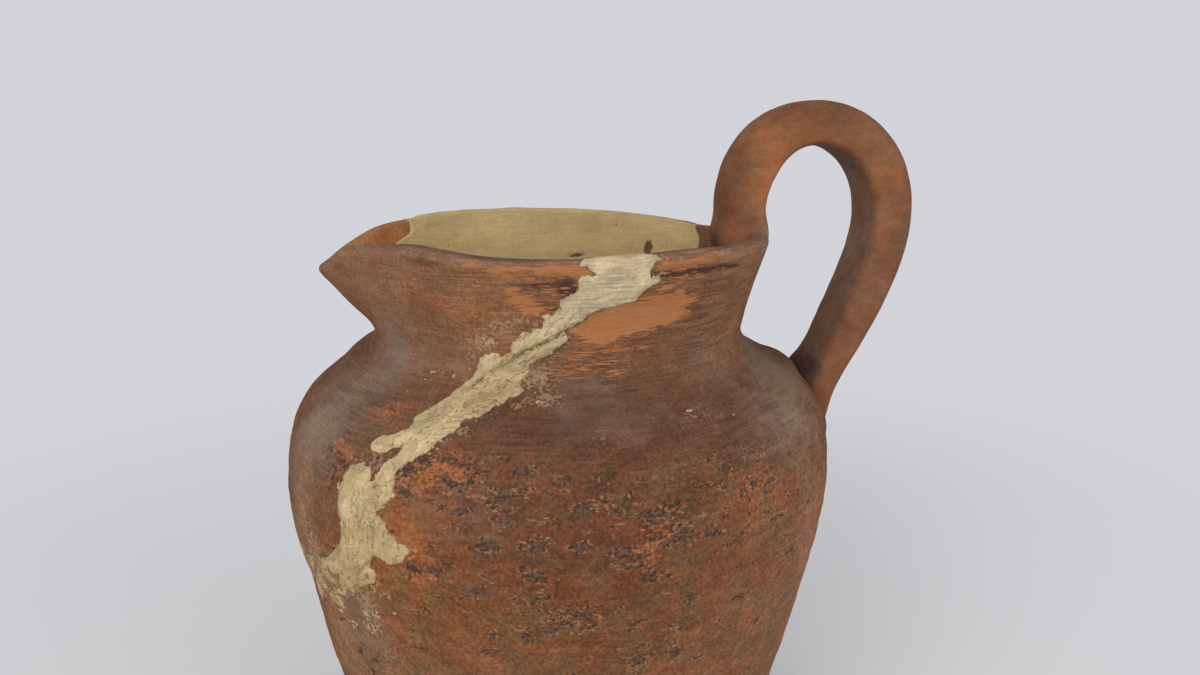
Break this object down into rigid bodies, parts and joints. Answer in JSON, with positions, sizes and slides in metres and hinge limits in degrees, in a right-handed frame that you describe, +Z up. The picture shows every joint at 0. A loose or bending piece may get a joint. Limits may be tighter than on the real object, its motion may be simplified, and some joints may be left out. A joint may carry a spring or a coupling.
{
  "type": "clay jug",
  "caption": "Wheel-thrown earthenware jug with a pinched pouring spout and a pulled strap handle, mended with cream plaster in its break, rim and neck.",
  "frame": {"origin": "centre of the flat foot, on the surface that the jug stands on", "axes": "+Z up through the mouth; +X towards the handle, the spout at -X; the front that the picture shows faces -Y"},
  "size_m": [0.1734, 0.15, 0.2098],
  "materials": {
    "fired_clay": "unglazed, matt, pitted and worn",
    "sherd_clay": "unglazed, matt, finely striated",
    "handle_clay": "unglazed, slightly burnished by handling",
    "seam_plaster": "matt restoration plaster, brushed",
    "rim_plaster": "matt restoration plaster, smoothed",
    "skim_plaster": "matt restoration plaster, brushed thin"
  },
  "bodies": {
    "root": {"body": "fired_clay", "spout_sherd": "sherd_clay", "handle": "handle_clay", "seam_front": "seam_plaster", "seam_back": "seam_plaster", "rim_infill": "rim_plaster", "neck_skim": "skim_plaster"}
  },
  "joints": []
}
